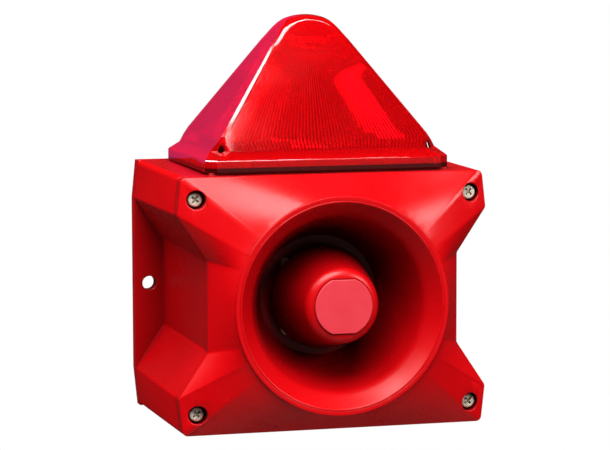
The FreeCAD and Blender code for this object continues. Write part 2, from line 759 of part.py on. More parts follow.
def make_lens():
    """Hollow four-sided pyramid on a low skirt with cut corners and a sloping ledge."""
    ledge_z = dims.lens_bottom + dims.skirt_high
    pyramid_z = ledge_z + dims.ledge_high
    base_x = dims.lens_half_x - dims.ledge_in
    base_y = dims.lens_half_y - dims.ledge_in
    shrink = (dims.apex - dims.lens_top) / (dims.apex - pyramid_z)

    skirt = new_body("lens_skirt")
    low = lens_octagon(sketch(skirt, "XY_Plane", dims.lens_bottom), dims.lens_half_x, dims.lens_half_y,
                       dims.lens_chamfer)
    mid = lens_octagon(sketch(skirt, "XY_Plane", ledge_z), dims.lens_half_x, dims.lens_half_y,
                       dims.lens_chamfer)
    top = lens_octagon(sketch(skirt, "XY_Plane", pyramid_z), base_x, base_y, dims.lens_chamfer)
    loft(skirt, [low, mid, top])

    wedge = doc.addObject("Part::Wedge", "lens_pyramid")
    limits = {
        "Xmin": -base_x, "Xmax": base_x, "Zmin": -base_y, "Zmax": base_y,
        "X2min": -base_x * shrink, "X2max": base_x * shrink,
        "Z2min": -base_y * shrink, "Z2max": base_y * shrink,
        "Ymin": 0, "Ymax": dims.lens_top - pyramid_z,
    }
    for prop, value in limits.items():
        bind(wedge, prop, value)
    wedge.Placement.Rotation = FreeCAD.Rotation(V(1, 0, 0), 90)
    place(wedge, 0, dims.lens_centre, pyramid_z)
    doc.recompute()
    pyramid = doc.addObject("Part::Chamfer", "lens_ridges")
    pyramid.Base = wedge
    ridges = edges_where(wedge.Shape, lambda edge: edge.BoundBox.ZLength > 50)
    pyramid.Edges = [(int(ridge[4:]), 1.3, 1.3) for ridge in ridges]
    # the tip is rounded off by a ball that meets the four ridges
    cap = block("lens_cap", as_size(0), dims.lens_centre - 30, dims.lens_top - 2, 60, 60, 16)
    ball = doc.addObject("Part::Sphere", "lens_ball")
    bind(ball, "Radius", dims.dome_r)
    place(ball, 0, dims.lens_centre, dims.lens_top - dims.dome_r)
    domed = cut("lens_domed", pyramid, cut("lens_cap_hollow", cap, ball))
    # upright facets cut off the pyramid's corners above the ledge
    trim = new_body("lens_corner_trim")
    under = sketch(trim, "XY_Plane", pyramid_z - 1)
    prism = lens_octagon(under, base_x + 1, base_y + 1, dims.lens_chamfer + 3.6)
    pad(trim, prism, dims.apex - pyramid_z)
    outside = fused("lens_outside", [skirt, common("lens_trimmed", domed, trim)])

    hollow = new_body("lens_hollow")
    inset = dims.lens_wall * 1.22
    levels = [
        (dims.lens_bottom - 1, dims.lens_half_x - dims.lens_wall, dims.lens_half_y - dims.lens_wall),
        (ledge_z - 0.8, dims.lens_half_x - dims.lens_wall, dims.lens_half_y - dims.lens_wall),
        (pyramid_z - 1.2, base_x - inset, base_y - inset),
        (dims.lens_top - 3.5, base_x * shrink - 1.2, base_y * shrink - 1.2),
    ]
    rings = []
    for height, half_x, half_y in levels:
        cut_corner = dims.lens_chamfer * (half_x / dims.lens_half_x) + 1.5
        rings.append(lens_octagon(sketch(hollow, "XY_Plane", height), half_x, half_y, cut_corner))
    loft(hollow, rings)

    posts = [post("lens_post", 3.4, dims.lens_bottom, 86, x, -y) for x, y in lens_post_spots()]
    bore_top = dims.lens_bottom + 5.5
    bores = [post("lens_post_bore", 1.55, 60, bore_top, x, -y) for x, y in lens_post_spots()]
    room = cut("lens_room", hollow, fused("lens_posts", posts))
    shell = cut("lens_shell", outside, room)
    keep("lens", cut("lens_drilled", shell, fused("lens_bores", bores)))

    # the seal follows the wall and passes inside the screw posts at the corners
    seal = new_body("lens_seal_ring")
    ring = sketch(seal, "XY_Plane", dims.lens_bottom)
    for inset, corner in ((0.4, 14.4), (3.4, 12.6)):
        inset = dims.lens_wall + inset
        lens_octagon(ring, dims.lens_half_x - inset, dims.lens_half_y - inset, corner)
    pad(seal, ring, 2.4)
    keep("lens_seal", seal)

    screws = []
    seat = dims.corner_half_h - dims.wall - 1
    for x, y in lens_post_spots():
        head = post("lens_screw_head", 3.0, seat - 2.2, seat, x, -y)
        shank = post("lens_screw_shank", 1.5, seat - 1, dims.lens_bottom + 5, x, -y)
        screws.append(fused("lens_screw", [head, shank]))
    keep("lens_screws", group("lens_screws_group", screws))


# -------------------------------------------------------------------- strobe
def make_strobe():
    """Xenon flash tube on its own board under the lens."""
    centre = dims.lens_centre
    top = dims.strobe_board_z + dims.board_thick
    spacers = []
    holes = []
    for x, z in corners(as_size(40), as_size(26)).values():
        spacer = post("spacer_body", 3, dims.lens_bottom, dims.strobe_board_z, x, centre + z)
        bore = post("spacer_bore", 1.2, dims.lens_bottom + 1, 90, x, centre + z)
        spacers.append(cut("spacer", spacer, bore))
        holes.append(post("strobe_board_hole", 1.2, 70, 80, x, centre + z))
    keep("strobe_spacers", group("strobe_spacers_group", spacers))
    body = new_body("strobe_board_blank")
    outline = sketch(body, "XY_Plane", dims.strobe_board_z)
    rectangle(outline, -48, -(centre + 34), 48, -(centre - 34))
    pad(body, outline, dims.board_thick)
    keep("strobe_board", cut("strobe_board_drilled", body, fused("strobe_board_holes", holes)))

    tube = new_body("flash_tube_bent")
    leg_x = 8.5
    leg_top = 112
    path = sketch(tube, "XZ_Plane", centre)
    left = path.addGeometry(Part.LineSegment(V(-leg_x, top.number + 3, 0), V(-leg_x, leg_top, 0)), False)
    arch = Part.ArcOfCircle(Part.Circle(V(0, leg_top, 0), V(0, 0, 1), leg_x), 0, math.pi)
    bend = path.addGeometry(arch, False)
    right = path.addGeometry(Part.LineSegment(V(leg_x, leg_top, 0), V(leg_x, top.number + 3, 0)), False)
    hold(path, left, 1, -leg_x, top + 3)
    hold(path, left, 2, -leg_x, leg_top)
    hold(path, right, 2, leg_x, top + 3)
    path.addConstraint(Sketcher.Constraint("Coincident", left, 2, bend, 2))
    path.addConstraint(Sketcher.Constraint("Tangent", bend, 1, right, 1))
    path.addConstraint(Sketcher.Constraint("Vertical", right))
    path.addConstraint(Sketcher.Constraint("DistanceY", -1, 1, right, 1, leg_top))
    bore = circle(sketch(tube, "XY_Plane", top + 3), -leg_x, -centre, 3)
    pipe = grow(tube, "AdditivePipe", bore)
    pipe.Spine = (path, ["Edge1", "Edge2", "Edge3"])
    keep("flash_tube", tube)
    caps = [post("tube_cap", 3.8, top, top + 3, x, centre) for x in (-leg_x, leg_x)]
    keep("tube_caps", group("tube_caps_group", caps))

    dish = new_body("strobe_reflector_sheet")
    sheet_outline = sketch(dish, "XY_Plane", top + 3.4)
    rectangle(sheet_outline, -44, -(centre + 16), 44, -(centre - 16))
    circle(sheet_outline, -leg_x, -centre, 4.2)
    circle(sheet_outline, leg_x, -centre, 4.2)
    pad(dish, sheet_outline, 0.8)
    legs = [post("reflector_leg", 1.5, top, top + 3.6, x, centre) for x in (-40, 40)]
    keep("strobe_reflector", fused("strobe_reflector_all", [dish] + legs))

    can = doc.addObject("Part::Cylinder", "storage_capacitor_can")
    can.Radius = 7
    can.Height = 30
    can.Placement.Rotation = FreeCAD.Rotation(V(0, 1, 0), 90)
    place(can, -15, centre - 25, top + 7)
    keep("storage_capacitor", can)
    keep("trigger_coil", post("trigger_coil_can", 5.5, top, top + 11, 22, centre + 25))


def make_strobe_lead():
    """Lead from the flash board, through the case roof, to the main board."""
    run = [
        (-34, 40, dims.strobe_board_z), (-34, 40, 52), (-34, 34, 40), (-34, 26.5, 34), (-34, 20, 34),
    ]
    cable("strobe_lead", 1.5, run)
    front = dims.board_front + dims.board_thick
    keep("strobe_connector", block("strobe_connector_body", as_size(-34), front, as_size(34), 9, 4.4, 7))


# --------------------------------------------------------------- electronics
def make_main_board():
    """Main board on four posts, with terminals, tone switches and volume trimmer."""
    front = dims.board_front + dims.board_thick
    body = new_body("main_board_blank")
    outline = sketch(body, "XZ_Plane", dims.board_front)
    rectangle(outline, -dims.board_half_x, -dims.board_half_z, dims.board_half_x, dims.board_half_z)
    spots = corners(dims.board_half_x - 5, dims.board_half_z - 5).values()
    for x, z in spots:
        circle(outline, x, z, 1.6)
    pad(body, outline, dims.board_thick)
    keep("main_board", body)
    screws = []
    for x, z in spots:
        head = rod("board_screw_head", 2.8, front, front + 2, x, z)
        shank = rod("board_screw_shank", 1.4, dims.board_front - 8, front + 1, x, z)
        screws.append(fused("board_screw", [head, shank]))
    keep("board_screws", group("board_screws_group", screws))

    ways = 6
    pitch = 5.0
    base = block("terminal_base", as_size(-30), front, as_size(-30), ways * pitch + 1, 11, 9)
    openings = []
    heads = []
    for k in range(ways):
        x = -30 + (k - (ways - 1) / 2) * pitch
        openings.append(block("wire_entry", as_size(x), front + 1.5, as_size(-33), 3.2, 4, 6))
        well = rod("screw_well", 1.9, front + 6, front + 12, x, -29)
        openings.append(well)
        screw = rod("clamp_screw_body", 1.7, front + 6.2, front + 9.6, x, -29)
        slot = block("clamp_screw_slot", as_size(x), front + 9, as_size(-29), 4, 1, 0.6)
        heads.append(cut("clamp_screw", screw, slot))
    keep("terminal_block", cut("terminal_block_open", base, fused("terminal_openings", openings)))
    keep("terminal_screws", group("terminal_screws_group", heads))

    count = 5
    step = 2.54
    case = block("dip_case", as_size(28), front, as_size(-31), count * step + 2, 5.2, 9.4)
    slots = []
    for k in range(count):
        x = 28 + (k - (count - 1) / 2) * step
        slots.append(block("dip_slot", as_size(x), front + 3.6, as_size(-31), 1.5, 3, 4.2))
        slider = block("dip_slider", as_size(x), front + 3.7, as_size(-32.2), 1.2, 2.4, 1.4)
        keep("tone_slider_%d" % (k + 1), slider)
    keep("tone_switch", cut("tone_switch_open", case, fused("dip_slots", slots)))

    trimmer = block("trimmer_case", as_size(42), front, as_size(-31), 9.5, 4.8, 9.5)
    well = rod("trimmer_well", 3.35, front + 2.6, front + 6, 42, -31)
    keep("volume_trimmer", cut("volume_trimmer_open", trimmer, well))
    rotor = turned("volume_rotor_turned", [(0, 0), (3.2, 0), (3.2, 2.6), (0, 2.6)])
    slot = rectangle(sketch(rotor, "XZ_Plane", 2.6), -2.4, -0.4, 2.4, 0.4)
    pocket(rotor, slot, 1.2)
    place(rotor, 42, front + 2.7, -31)
    keep("volume_rotor", rotor)

    core_x, core_z = 32, 24
    core = block("core_block", as_size(core_x), front + 2, as_size(core_z), 24, 14, 20)
    window = block("core_window", as_size(core_x), front + 1, as_size(core_z), 14, 16, 12)
    leg = block("core_leg", as_size(core_x), front + 2, as_size(core_z), 5, 14, 12)
    keep("transformer_core", fused("transformer_core_all", [cut("core_open", core, window), leg]))
    coil = block("winding_block", as_size(core_x), front, as_size(core_z), 13.6, 17, 11.6)
    gap = block("winding_gap", as_size(core_x), front + 1.8, as_size(core_z), 5.4, 14.4, 12)
    keep("transformer_winding", cut("winding_open", coil, gap))

    cans = [rod("capacitor_can", 6.2, front, front + 20, x, 22) for x in (-16, -2)]
    keep("smoothing_capacitors", group("smoothing_capacitors_group", cans))
    chips = []
    for x, z in ((0, -14), (-26, -10)):
        chips.append(block("chip_body", as_size(x), front + 0.6, as_size(z), 15, 3.4, 6.4))
    keep("chips", group("chips_group", chips))


def make_cable_plugs():
    """Blanking plugs with seals in the two cable entries under the case."""
    face = -dims.corner_half_h - 1.6
    plugs = []
    seals = []
    for x in (-25, 25):
        head = post("plug_head", 12, face - 3.1, face - 1, x, 60)
        stem = post("plug_stem", 9.8, face - 2, face + 6, x, 60)
        slot = block("plug_slot", as_size(x), 59, face - 2.9, 16, 2, 1.2)
        plugs.append(cut("plug", fused("plug_form", [head, stem]), slot))
        ring = post("plug_seal_body", 11.4, face - 1, face, x, 60)
        seals.append(cut("plug_seal", ring, post("plug_seal_bore", 9.85, face - 3, face + 3, x, 60)))
    keep("cable_plugs", group("cable_plugs_group", plugs))
    keep("plug_seals", group("plug_seals_group", seals))


bolt_holes = [rod("driver_bolt_hole", 1.6, 60, 90, x, z) for x, z in driver_bolt_spots()]
driver_bolt_holes = fused("driver_bolt_holes", bolt_holes)
make_rear_housing()
make_inserts_and_seal()
make_front_cover()
make_cover_screws()
make_horn()
make_driver()
make_horn_lead()
make_lens()
make_strobe()
make_strobe_lead()
make_main_board()
make_cable_plugs()

doc.recompute()
for item in doc.Objects:
    if "Invalid" in item.State or "Error" in item.State:
        raise RuntimeError("%s did not build: %s" % (item.Label, item.State))
for name, item in parts.items():
    if item.Shape.isNull() or not item.Shape.isValid():
        raise RuntimeError("%s has no valid shape" % name)
os.makedirs("parts", exist_ok=True)
for name, item in parts.items():
    item.Shape.exportStep("parts/%s.step" % name)
    print("%-22s %9.1f mm3  %d solid(s)" % (name, item.Shape.Volume, len(item.Shape.Solids)))
print("%d sub-parts" % len(parts))
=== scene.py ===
# %% [markdown]
# # Horn strobe
# This lesson dresses a wall-mounted fire alarm horn strobe: a red case, a horn
# in its front cover and a flashing light under a pyramid lens. The shapes come
# from a finished CAD model, which is never moved. Blender adds rounded edges,
# the detailed lens, the finishes, the light and the camera.
# Lengths are metres, in the CAD model's own frame: Z is up, the wall is at Y 0
# and the product looks towards -Y.

import bpy
import bmesh
import math
from mathutils import Matrix, Vector


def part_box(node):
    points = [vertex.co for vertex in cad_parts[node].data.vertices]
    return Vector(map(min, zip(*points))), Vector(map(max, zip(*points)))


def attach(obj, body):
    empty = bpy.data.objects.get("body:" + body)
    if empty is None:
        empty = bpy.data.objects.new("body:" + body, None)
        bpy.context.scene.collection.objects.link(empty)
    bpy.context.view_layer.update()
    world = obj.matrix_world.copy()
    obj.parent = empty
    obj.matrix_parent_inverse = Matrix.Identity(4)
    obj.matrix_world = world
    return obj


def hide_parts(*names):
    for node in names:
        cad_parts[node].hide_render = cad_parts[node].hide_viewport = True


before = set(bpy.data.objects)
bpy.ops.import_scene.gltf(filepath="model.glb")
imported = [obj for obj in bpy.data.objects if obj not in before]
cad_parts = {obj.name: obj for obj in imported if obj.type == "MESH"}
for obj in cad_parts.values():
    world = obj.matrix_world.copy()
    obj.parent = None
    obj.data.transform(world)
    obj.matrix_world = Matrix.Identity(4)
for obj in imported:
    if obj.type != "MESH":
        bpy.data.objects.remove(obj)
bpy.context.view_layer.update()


# %% Millimetres
def mm(value):
    """Millimetres as Blender's metres."""
    return value / 1000.0


print("10 mm is", mm(10), "m")


# %% [markdown]
# ## The camera
# The product is seen a little from its left and a little from above, from far
# away with a long lens, so that upright edges stay nearly upright. The camera
# is built from its three own axes, because that sets the slight roll exactly.
# Aiming it at an empty with a constraint would also work, but would lose it.

# %% Camera
AZIMUTH = math.radians(-15.283)
ELEVATION = math.radians(6.116)
ROLL = math.radians(-0.178)
FOCAL_LENGTH_MM = 153.91
SENSOR_MM = 36
PLACE = Vector((-0.3730, -1.4199, 0.1865))

back = Vector((
    math.sin(AZIMUTH) * math.cos(ELEVATION),
    -math.cos(AZIMUTH) * math.cos(ELEVATION),
    math.sin(ELEVATION),
))
level_right = Vector((math.cos(AZIMUTH), math.sin(AZIMUTH), 0))
level_up = back.cross(level_right)
right = level_right * math.cos(ROLL) + level_up * math.sin(ROLL)
up = back.cross(right)

camera_data = bpy.data.cameras.new("camera")
camera_data.sensor_width = SENSOR_MM
camera_data.lens = FOCAL_LENGTH_MM
camera = bpy.data.objects.new("camera", camera_data)
bpy.context.scene.collection.objects.link(camera)
turn = Matrix((right, up, back)).transposed().to_4x4()
camera.matrix_world = Matrix.Translation(PLACE) @ turn
bpy.context.scene.camera = camera
print("camera", round(camera.location.length, 3), "m from the horn's axis at the wall")


# %% [markdown]
# ## Studio light
# A product like this is lit by soft boxes: a large one high in front, one on
# the left for the side wall and one on the right for the creases. Polished
# faces mirror what stands around them, so small lights are placed where the
# lens's ridges and edges look, a weak card where the flat screw heads look,
# and a rose one behind, which tints the lens's steep left face.
# Area lights do this; sun or point lights would give hard shadows. The small
# ones are kept in a list, to be limited to the lens once it is made.

# %% Soft boxes
AIM = Vector((0, mm(-60), mm(30)))


def soft_box(name, direction, distance, width, height, watts, colour=(1, 1, 1)):
    """A rectangular light that faces the product from a direction."""
    data = bpy.data.lights.new(name, "AREA")
    data.shape = "RECTANGLE"
    data.size = width
    data.size_y = height
    data.energy = watts
    data.color = colour
    lamp = bpy.data.objects.new(name, data)
    bpy.context.scene.collection.objects.link(lamp)
    away = Vector(direction).normalized()
    lamp.location = AIM + away * distance
    lamp.rotation_mode = "QUATERNION"
    lamp.rotation_quaternion = away.to_track_quat("Z", "Y")
    return lamp


# name, direction from the product, distance, width, height, watts
soft_box("key", (-0.18, -0.54, 0.82), 1.5, 1.2, 1.0, 61)
soft_box("left", (-0.66, -0.06, 0.75), 1.5, 0.8, 0.8, 14)
soft_box("right", (0.64, -0.65, 0.41), 1.4, 0.4, 0.4, 11)
print(len(bpy.data.lights), "soft boxes")

# %% Small lights for the lines on the lens
lens_lights = [
    soft_box("ridge", (-0.478, 0.251, 0.842), 1.3, 0.12, 0.12, 1.0),
    soft_box("strip", (0.262, -0.432, 0.866), 1.3, 0.16, 0.07, 0.5),
    soft_box("rose card", (-0.197, 0.959, 0.204), 1.4, 1.2, 1.0, 3.2, colour=(1.0, 0.03, 0.23)),
]
soft_box("front card", (0.26, -0.96, -0.11), 1.7, 1.2, 1.0, 0.6)
print(len(lens_lights), "small lights for the lens")


# %% [markdown]
# ## Surroundings
# The backdrop is plain white paper. It should look white where the camera
# sees it, but lend only a little light from every side, or it would wash out
# the shading. The light path node tells the two apart in the world shader.

# %% White surroundings
world = bpy.data.worlds.new("studio")
bpy.context.scene.world = world
world.use_nodes = True
tree = world.node_tree
tree.nodes.clear()
seen, fill = (tree.nodes.new("ShaderNodeBackground") for _ in range(2))
seen.inputs["Color"].default_value = (1, 1, 1, 1)
seen.inputs["Strength"].default_value = 1.0
fill.inputs["Color"].default_value = (0.93, 0.95, 1.0, 1)
fill.inputs["Strength"].default_value = 0.03
path = tree.nodes.new("ShaderNodeLightPath")
choose = tree.nodes.new("ShaderNodeMixShader")
output = tree.nodes.new("ShaderNodeOutputWorld")
tree.links.new(path.outputs["Is Camera Ray"], choose.inputs["Fac"])
tree.links.new(fill.outputs[0], choose.inputs[1])
tree.links.new(seen.outputs[0], choose.inputs[2])
tree.links.new(choose.outputs[0], output.inputs["Surface"])
bpy.context.scene.view_settings.view_transform = "Standard"
print("world light", fill.inputs["Strength"].default_value)


# %% [markdown]
# ## Colours and nodes
# Colours are easiest to pick as the hex values of a paint program. Shaders
# want linear light, so one function converts them. A second small function
# adds a node, sets its own properties and plugs values or links into it.

# %% Colour and node helpers
def linear(hex_code):
    """An sRGB hex colour as linear red, green, blue and alpha."""
    channels = [int(hex_code[k:k + 2], 16) / 255 for k in (1, 3, 5)]
    bent = [c / 12.92 if c <= 0.04045 else ((c + 0.055) / 1.055) ** 2.4 for c in channels]
    return (*bent, 1.0)


def add(material, kind, inputs=None, **settings):
    """Add one node; inputs are numbers, colours or links for its sockets."""
    node = material.node_tree.nodes.new("ShaderNode" + kind)
    for name, value in settings.items():
        setattr(node, name, value)
    for name, value in (inputs or {}).items():
        if isinstance(value, bpy.types.NodeSocket):
            material.node_tree.links.new(value, node.inputs[name])
        else:
            node.inputs[name].default_value = value
    return node


print("red ff0000 as light:", linear("#ff0000"))


# %% [markdown]
# ## A moulded surface
# Nearly every surface here varies in the same three ways: colour drifts a
# little over centimetres, gloss drifts in patches, and a fine grain tilts the
# surface. Noise in the object's own coordinates gives all three, so the
# pattern's size is in real millimetres and stays put when a part moves. A
# bevel node also bends the shading round every edge, for the fine light line
# of a worn or moulded edge on parts too small to bevel one by one.

# %% Base of every finish
def finish(name, colours, gloss, patch_mm, grain_mm, grain_depth_mm,
           metallic=0.0, edge_mm=0.25, **sockets):
    """A material whose colour and gloss drift in patches, with a fine grain."""
    material = bpy.data.materials.new(name)
    material.use_nodes = True
    shader = material.node_tree.nodes["Principled BSDF"]
    place = add(material, "TexCoord").outputs["Object"]
    patches = add(material, "TexNoise", {
        "Vector": place, "Scale": 1 / mm(patch_mm), "Detail": 3.0, "Roughness": 0.6})
    grain = add(material, "TexNoise", {
        "Vector": place, "Scale": 1 / mm(grain_mm), "Detail": 2.0, "Roughness": 0.5})
    colour = add(material, "MixRGB", {
        "Fac": patches.outputs["Fac"], "Color1": linear(colours[0]), "Color2": linear(colours[1])})
    shine = add(material, "MapRange", {
        "Value": patches.outputs["Fac"], "From Min": 0.3, "From Max": 0.7,
        "To Min": gloss[0], "To Max": gloss[1]})
    relief = add(material, "Bump", {
        "Height": grain.outputs["Fac"], "Strength": 1.0, "Distance": mm(grain_depth_mm)})
    if edge_mm:
        worn = add(material, "Bevel", {"Radius": mm(edge_mm)}, samples=6)
        material.node_tree.links.new(worn.outputs["Normal"], relief.inputs["Normal"])
    links = material.node_tree.links
    links.new(colour.outputs["Color"], shader.inputs["Base Color"])
    links.new(shine.outputs["Result"], shader.inputs["Roughness"])
    links.new(relief.outputs["Normal"], shader.inputs["Normal"])
    shader.inputs["Metallic"].default_value = metallic
    for socket, value in sockets.items():
        shader.inputs[socket.replace("_", " ")].default_value = value
    print("finish:", name)
    return material


# %% [markdown]
# ## Painted shade in recesses
# Light that falls into a deep place is swallowed there, and here that is
# painted into the colour as shade. The ambient occlusion node measures how
# open each point is within a given reach, and the colour sinks to a darker one
# where it isn't.

# %% Painted shade in recesses
def paint_recess_shade(material, reach_mm, dark):
    """Paint shade into the colour: sink it towards a darker one where enclosed."""
    base = material.node_tree.nodes["Principled BSDF"].inputs["Base Color"]
    openness = add(material, "AmbientOcclusion", {"Distance": mm(reach_mm)}, samples=8)
    mixed = add(material, "MixRGB", {
        "Fac": openness.outputs["AO"], "Color1": linear(dark), "Color2": base.links[0].from_socket})
    material.node_tree.links.new(mixed.outputs["Color"], base)


finishes = {}  # material slot of the CAD record: its finish

# %% [markdown]
# ## Red moulded plastic
# The case, cover and horn are self-coloured polycarbonate and ABS blend in
# signal red, moulded in polished tools. The eye gets an even, deep red with a
# semi-gloss shine that breaks up slightly where the surface undulates. Deep
# in the horn and in the waist of the case painted shade sinks the red to maroon.

# %% Signal red housing plastic
finishes["red_housing"] = finish(
    "moulded red polycarbonate ABS", ("#aa0206", "#b20309"), (0.26, 0.33), patch_mm=22,
    grain_mm=1.6, grain_depth_mm=0.012, edge_mm=0.8, IOR=1.5, Specular_IOR_Level=0.22)
# painted shade: the red sinks to maroon in the horn and in the case's waist
paint_recess_shade(finishes["red_housing"], 45, "#3c0002")

# %% [markdown]
# ## Red lens
# The lens is clear polycarbonate, dyed through and polished. Light that goes
# through loses its green and blue, and the rest glows inside the wall. A part
# of the light is let through, the remainder is scattered as in dyed plastic.
# Where a rib or a post stands in the wall the red looks darker, and the foot
# looks dark over its seal and the gap under it. Light alone doesn't give that
# here, so it is painted shade: the lens's mesh carries it as a value called
# deep, which tints the colour.

# %% Dyed polycarbonate
finishes["red_lens"] = finish(
    "dyed clear polycarbonate", ("#fa0008", "#fe030c"), (0.03, 0.06), patch_mm=30,
    grain_mm=9, grain_depth_mm=0.01, edge_mm=0, IOR=1.585, Transmission_Weight=0.77)
dyed = finishes["red_lens"]
dyed_base = dyed.node_tree.nodes["Principled BSDF"].inputs["Base Color"]
# painted shade: the value deep darkens the red towards #300001 on ribs, posts and foot
tinted = add(dyed, "MixRGB", {
    "Fac": add(dyed, "Attribute", attribute_name="deep").outputs["Fac"],
    "Color1": dyed_base.links[0].from_socket, "Color2": linear("#300001")})
dyed.node_tree.links.new(tinted.outputs["Color"], dyed_base)

# %% [markdown]
# ## Badge
# The round plate in the horn's cup is moulded from a paler red with a satin
# face, so it looks a little pink beside the case.

# %% Satin badge plastic
finishes["badge"] = finish(
    "satin moulded red plastic", ("#b82631", "#c02b37"), (0.42, 0.5),
    patch_mm=9, grain_mm=0.7, grain_depth_mm=0.012, IOR=1.5)

# %% [markdown]
# ## Metals
# Screws are zinc plated steel. They are drawn only partly metallic, because
# flat heads of full metal come out too dark in this light, and their cross
# recess gets painted shade.
# The inserts are turned brass; magnet plates are thicker zinc-plated steel;
# the diaphragm is thin pressed aluminium, and the light's reflector is sheet,
# drawn satin where a real one may be polished. All but the screws keep the
# usual metal settings and differ in roughness.

# %% Metals
finishes["zinc_screw"] = finish(
    "zinc plated steel screw", ("#f4ecd8", "#d6ccb6"), (0.36, 0.5),
    patch_mm=2.2, grain_mm=0.35, grain_depth_mm=0.01, metallic=0.6)
# painted shade in the cross recess of each screw
paint_recess_shade(finishes["zinc_screw"], 1.2, "#15110c")
finishes["brass"] = finish(
    "turned brass", ("#c9a55c", "#b08a45"), (0.22, 0.38),
    patch_mm=3, grain_mm=0.3, grain_depth_mm=0.01, metallic=1.0)
finishes["plated_steel"] = finish(
    "zinc plated steel plate", ("#b4b6b8", "#9c9da1"), (0.28, 0.46),
    patch_mm=5, grain_mm=0.5, grain_depth_mm=0.012, metallic=1.0)
finishes["metal_dome"] = finish(
    "pressed aluminium foil", ("#d4d6da", "#c2c5ca"), (0.18, 0.3),
    patch_mm=6, grain_mm=0.5, grain_depth_mm=0.008, metallic=1.0)
finishes["bright_sheet"] = finish(
    "satin reflector sheet", ("#c9cbce", "#bdc0c4"), (0.45, 0.6),
    patch_mm=12, grain_mm=1.2, grain_depth_mm=0.004, metallic=1.0)

# %% [markdown]
# ## Rubber, ferrite and dark plastics
# Seals are black rubber, dull with a faint bloom. Magnets and the transformer
# core are sintered ferrite, which has a gritty charcoal face. The driver
# frame and plugs are glass-filled nylon, black with a slight sheen.

# %% Dark finishes
finishes["seal_rubber"] = finish(
    "moulded black rubber", ("#1b1b1d", "#26262a"), (0.62, 0.78),
    patch_mm=4, grain_mm=0.5, grain_depth_mm=0.02)
finishes["ferrite"] = finish(
    "sintered ferrite magnet", ("#3a3a3d", "#4a4a4e"), (0.5, 0.66),
    patch_mm=3, grain_mm=0.4, grain_depth_mm=0.03)
finishes["core_ferrite"] = finish(
    "sintered ferrite core", ("#434347", "#55555a"), (0.55, 0.7),
    patch_mm=2.4, grain_mm=0.4, grain_depth_mm=0.03)
finishes["dark_plastic"] = finish(
    "glass-filled black nylon", ("#1d1d20", "#2b2b2f"), (0.4, 0.55),
    patch_mm=5, grain_mm=0.6, grain_depth_mm=0.02)
finishes["wire_sleeve"] = finish(
    "extruded black cable sleeve", ("#1a1a1d", "#242428"), (0.45, 0.55),
    patch_mm=3, grain_mm=0.5, grain_depth_mm=0.01)
finishes["can_sleeve"] = finish(
    "shrink sleeve", ("#181d33", "#20263d"), (0.2, 0.3),
    patch_mm=6, grain_mm=1.5, grain_depth_mm=0.01)

# %% [markdown]
# ## Light plastics and glass
# The terminal block, switches and plugs are small mouldings in their usual
# colours. The flash tube is clear drawn glass.

# %% Light finishes
finishes["terminal_green"] = finish(
    "green terminal plastic", ("#1f7a3f", "#27864a"), (0.38, 0.5),
    patch_mm=4, grain_mm=0.6, grain_depth_mm=0.012)
finishes["switch_blue"] = finish(
    "blue switch plastic", ("#1d4a8e", "#24549c"), (0.36, 0.48),
    patch_mm=3, grain_mm=0.5, grain_depth_mm=0.01)
finishes["switch_white"] = finish(
    "white switch plastic", ("#e6e5e0", "#dddcd6"), (0.36, 0.48),
    patch_mm=2, grain_mm=0.5, grain_depth_mm=0.01)
finishes["nylon_white"] = finish(
    "natural nylon", ("#e2dfd2", "#d8d4c4"), (0.36, 0.5),
    patch_mm=3, grain_mm=0.5, grain_depth_mm=0.012)
finishes["clear_glass"] = finish(
    "clear drawn glass", ("#f4f8fa", "#eef4f7"), (0.0, 0.02),
    patch_mm=8, grain_mm=3, grain_depth_mm=0.004, IOR=1.5, Transmission_Weight=1.0)


# %% [markdown]
# ## Circuit boards and windings
# Green solder mask lies over copper tracks, which show as paler lines. Two
# brick patterns of different sizes give straight tracks without a picture.
# A winding shows its turns of enamelled wire as fine ridges, which a wave
# texture draws both in colour and in height.

# %% Solder mask over tracks
board = finish(
    "solder mask over copper", ("#0b4a26", "#0e562c"), (0.24, 0.36),
    patch_mm=14, grain_mm=0.8, grain_depth_mm=0.008)
board_shader = board.node_tree.nodes["Principled BSDF"]
place = add(board, "TexCoord").outputs["Object"]
flat = add(board, "Mapping", {"Vector": place, "Rotation": (math.radians(90), 0, 0)})
tracks = add(board, "TexBrick", {
    "Vector": flat.outputs["Vector"], "Scale": 1.0, "Brick Width": mm(9), "Row Height": mm(3.4),
    "Mortar Size": mm(0.35), "Color1": (0, 0, 0, 1), "Color2": (0, 0, 0, 1), "Mortar": (1, 1, 1, 1)})
mask_colour = board_shader.inputs["Base Color"].links[0].from_socket
tinted = add(board, "MixRGB", {
    "Fac": tracks.outputs["Color"], "Color1": mask_colour, "Color2": linear("#2c7d45")})
board.node_tree.links.new(tinted.outputs["Color"], board_shader.inputs["Base Color"])
finishes["circuit_board"] = board

# %% Enamelled copper wire
winding = finish(
    "enamelled copper winding", ("#a5521f", "#bb6630"), (0.25, 0.38),
    patch_mm=3, grain_mm=0.5, grain_depth_mm=0.005, metallic=0.8)
winding_shader = winding.node_tree.nodes["Principled BSDF"]
# real turns are 0.2 mm apart; drawn 0.5 mm apart so that they show
turns = add(winding, "TexWave", {
    "Vector": add(winding, "TexCoord").outputs["Object"], "Scale": 1 / mm(0.5) / 6.283,
    "Distortion": 0.4}, bands_direction="Y")
ridges = add(winding, "Bump", {
    "Height": turns.outputs["Fac"], "Strength": 0.8, "Distance": mm(0.1)})
winding.node_tree.links.new(ridges.outputs["Normal"], winding_shader.inputs["Normal"])
finishes["copper_winding"] = winding
print(len(finishes), "finishes")

# %% [markdown]
# ## Finishes on the CAD parts
# The CAD record already says which material slot each part has, and the
# imported meshes carry those slot names, so the finishes can be put on by name.

# %% Dress every CAD part
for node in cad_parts.values():
    slot_name = node.data.materials[0].name
    node.data.materials.clear()
    node.data.materials.append(finishes[slot_name.split(".")[0]])
print(len(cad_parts), "CAD parts dressed")


